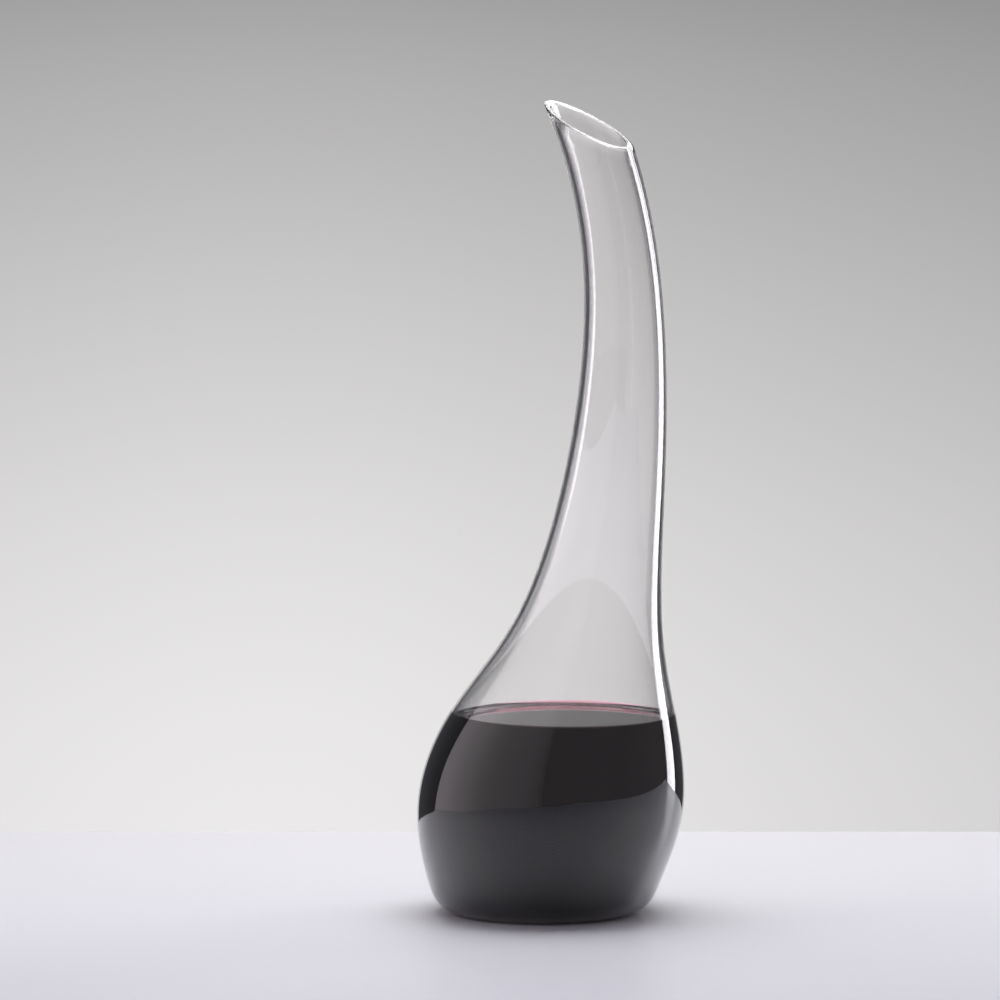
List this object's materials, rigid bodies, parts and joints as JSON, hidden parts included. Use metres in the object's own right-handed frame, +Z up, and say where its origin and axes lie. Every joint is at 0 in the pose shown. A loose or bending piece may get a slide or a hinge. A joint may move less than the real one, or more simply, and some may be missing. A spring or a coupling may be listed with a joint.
{
  "type": "wine decanter",
  "caption": "Blown glass wine decanter: round bowl on a flat foot, long S-curved neck with a slanting mouth, holding red wine up to the bowl's shoulder.",
  "frame": {"origin": "centre of the foot, on the surface the decanter stands on", "axes": "+Z up; the mouth pours towards -X and the neck bows towards +X; the part is mirror-symmetric about the XZ plane"},
  "size_m": [0.1216, 0.1192, 0.3667],
  "materials": {
    "glass": "clear, smooth and polished",
    "wine": "dark red liquid, nearly black in the bulk"
  },
  "bodies": {
    "root": {"vessel": "glass", "wine": "wine"}
  },
  "joints": []
}
